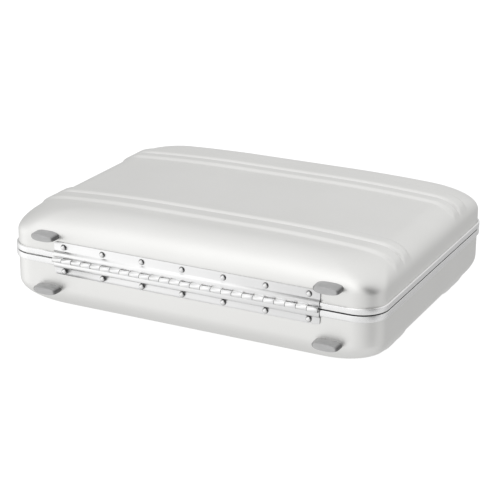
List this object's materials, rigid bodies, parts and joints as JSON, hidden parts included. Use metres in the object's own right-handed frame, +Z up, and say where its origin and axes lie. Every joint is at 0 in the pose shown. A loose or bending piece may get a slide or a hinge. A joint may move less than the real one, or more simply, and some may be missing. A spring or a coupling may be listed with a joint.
{
  "type": "eyeglasses carrying case",
  "caption": "Attache-style aluminium carrying case for eyeglasses, with piano-hinged lid, folding handle, hasp latches, lid stays and padded compartments.",
  "frame": {"origin": "on the floor, under the centre of the shells, with the case lying closed on the beads of its base", "axes": "+Z up through the lid; +X along the hinge and the handle; -Y out of the front, where the handle and latches are; +Y out of the hinge side"},
  "size_m": [0.462, 0.373, 0.1269],
  "materials": {
    "shell": "fine satin blasted, clear anodised",
    "frame": "bright anodised extrusion",
    "hinge": "bright anodised",
    "steel": "plain",
    "rivet": "polished domed heads",
    "foot": "moulded, fine grain",
    "fitting": "satin silver die casting",
    "grip": "ribbed",
    "gasket": "matt",
    "lining": "short-pile fabric",
    "pad": "foam under knitted fabric"
  },
  "bodies": {
    "base": {"base_shell": "shell", "base_frame": "frame", "base_hinge_leaf": "hinge", "hinge_pin": "steel", "base_hinge_rivets": "rivet", "base_feet": "foot", "base_foot_screws": "steel", "handle_brackets": "fitting", "handle_pins": "steel", "handle_rivets": "rivet", "left_latch_body": "fitting", "right_latch_body": "fitting", "hasp_pins": "steel", "latch_rivets": "rivet", "stay_base_brackets": "steel", "base_lining": "lining", "tray_floor_pad": "pad", "tray_side_pads": "pad", "tray_long_divider": "pad", "tray_cross_dividers": "pad"},
    "lid": {"lid_shell": "shell", "lid_frame": "frame", "rim_gasket": "gasket", "lid_hinge_leaf": "hinge", "lid_hinge_rivets": "rivet", "lid_feet": "foot", "lid_foot_screws": "steel", "latch_keepers": "hinge", "keeper_rivets": "rivet", "stay_lid_brackets": "steel", "lid_lining": "lining", "lid_pad": "pad"},
    "handle": {"handle_grip": "grip", "handle_arms": "fitting"},
    "left_hasp": {"left_hasp": "hinge"},
    "right_hasp": {"right_hasp": "hinge"},
    "left_button": {"left_latch_button": "fitting"},
    "right_button": {"right_latch_button": "fitting"},
    "left_lower_stay": {"left_lower_stay": "steel", "left_knee_pin": "steel"},
    "right_lower_stay": {"right_lower_stay": "steel", "right_knee_pin": "steel"},
    "left_upper_stay": {"left_upper_stay": "steel"},
    "right_upper_stay": {"right_upper_stay": "steel"}
  },
  "joints": [
    {"name": "lid_hinge", "type": "hinge", "parent": "base", "child": "lid", "pos_m": [0, 0.17735, 0.07], "axis": [-1, 0, 0], "range_deg": [0, 95]},
    {"name": "handle_pivot", "type": "hinge", "parent": "base", "child": "handle", "pos_m": [0, -0.182, 0.053], "axis": [-1, 0, 0], "range_deg": [0, 90]},
    {"name": "left_hasp_pivot", "type": "hinge", "parent": "base", "child": "left_hasp", "pos_m": [-0.14, -0.178, 0.042], "axis": [1, 0, 0], "range_deg": [-6, 95]},
    {"name": "left_button_slide", "type": "slide", "parent": "base", "child": "left_button", "axis": [-1, 0, 0], "range_m": [0, 0.006]},
    {"name": "left_lower_stay_pivot", "type": "hinge", "parent": "base", "child": "left_lower_stay", "pos_m": [-0.2206, 0.11735, 0.061], "axis": [-1, 0, 0], "range_deg": [0, 95]},
    {"name": "left_upper_stay_pivot", "type": "hinge", "parent": "lid", "child": "left_upper_stay", "pos_m": [-0.2182, 0.11735, 0.079], "axis": [-1, 0, 0], "range_deg": [-95, 0]},
    {"name": "right_hasp_pivot", "type": "hinge", "parent": "base", "child": "right_hasp", "pos_m": [0.14, -0.178, 0.042], "axis": [1, 0, 0], "range_deg": [-6, 95]},
    {"name": "right_button_slide", "type": "slide", "parent": "base", "child": "right_button", "axis": [1, 0, 0], "range_m": [0, 0.006]},
    {"name": "right_lower_stay_pivot", "type": "hinge", "parent": "base", "child": "right_lower_stay", "pos_m": [0.2206, 0.11735, 0.061], "axis": [-1, 0, 0], "range_deg": [0, 95]},
    {"name": "right_upper_stay_pivot", "type": "hinge", "parent": "lid", "child": "right_upper_stay", "pos_m": [0.2182, 0.11735, 0.079], "axis": [-1, 0, 0], "range_deg": [-95, 0]}
  ],
  "couplings": [
    {"joint": "left_lower_stay_pivot", "follows": "lid_hinge", "ratio": 1},
    {"joint": "left_upper_stay_pivot", "follows": "lid_hinge", "ratio": -1},
    {"joint": "right_lower_stay_pivot", "follows": "lid_hinge", "ratio": 1},
    {"joint": "right_upper_stay_pivot", "follows": "lid_hinge", "ratio": -1}
  ]
}
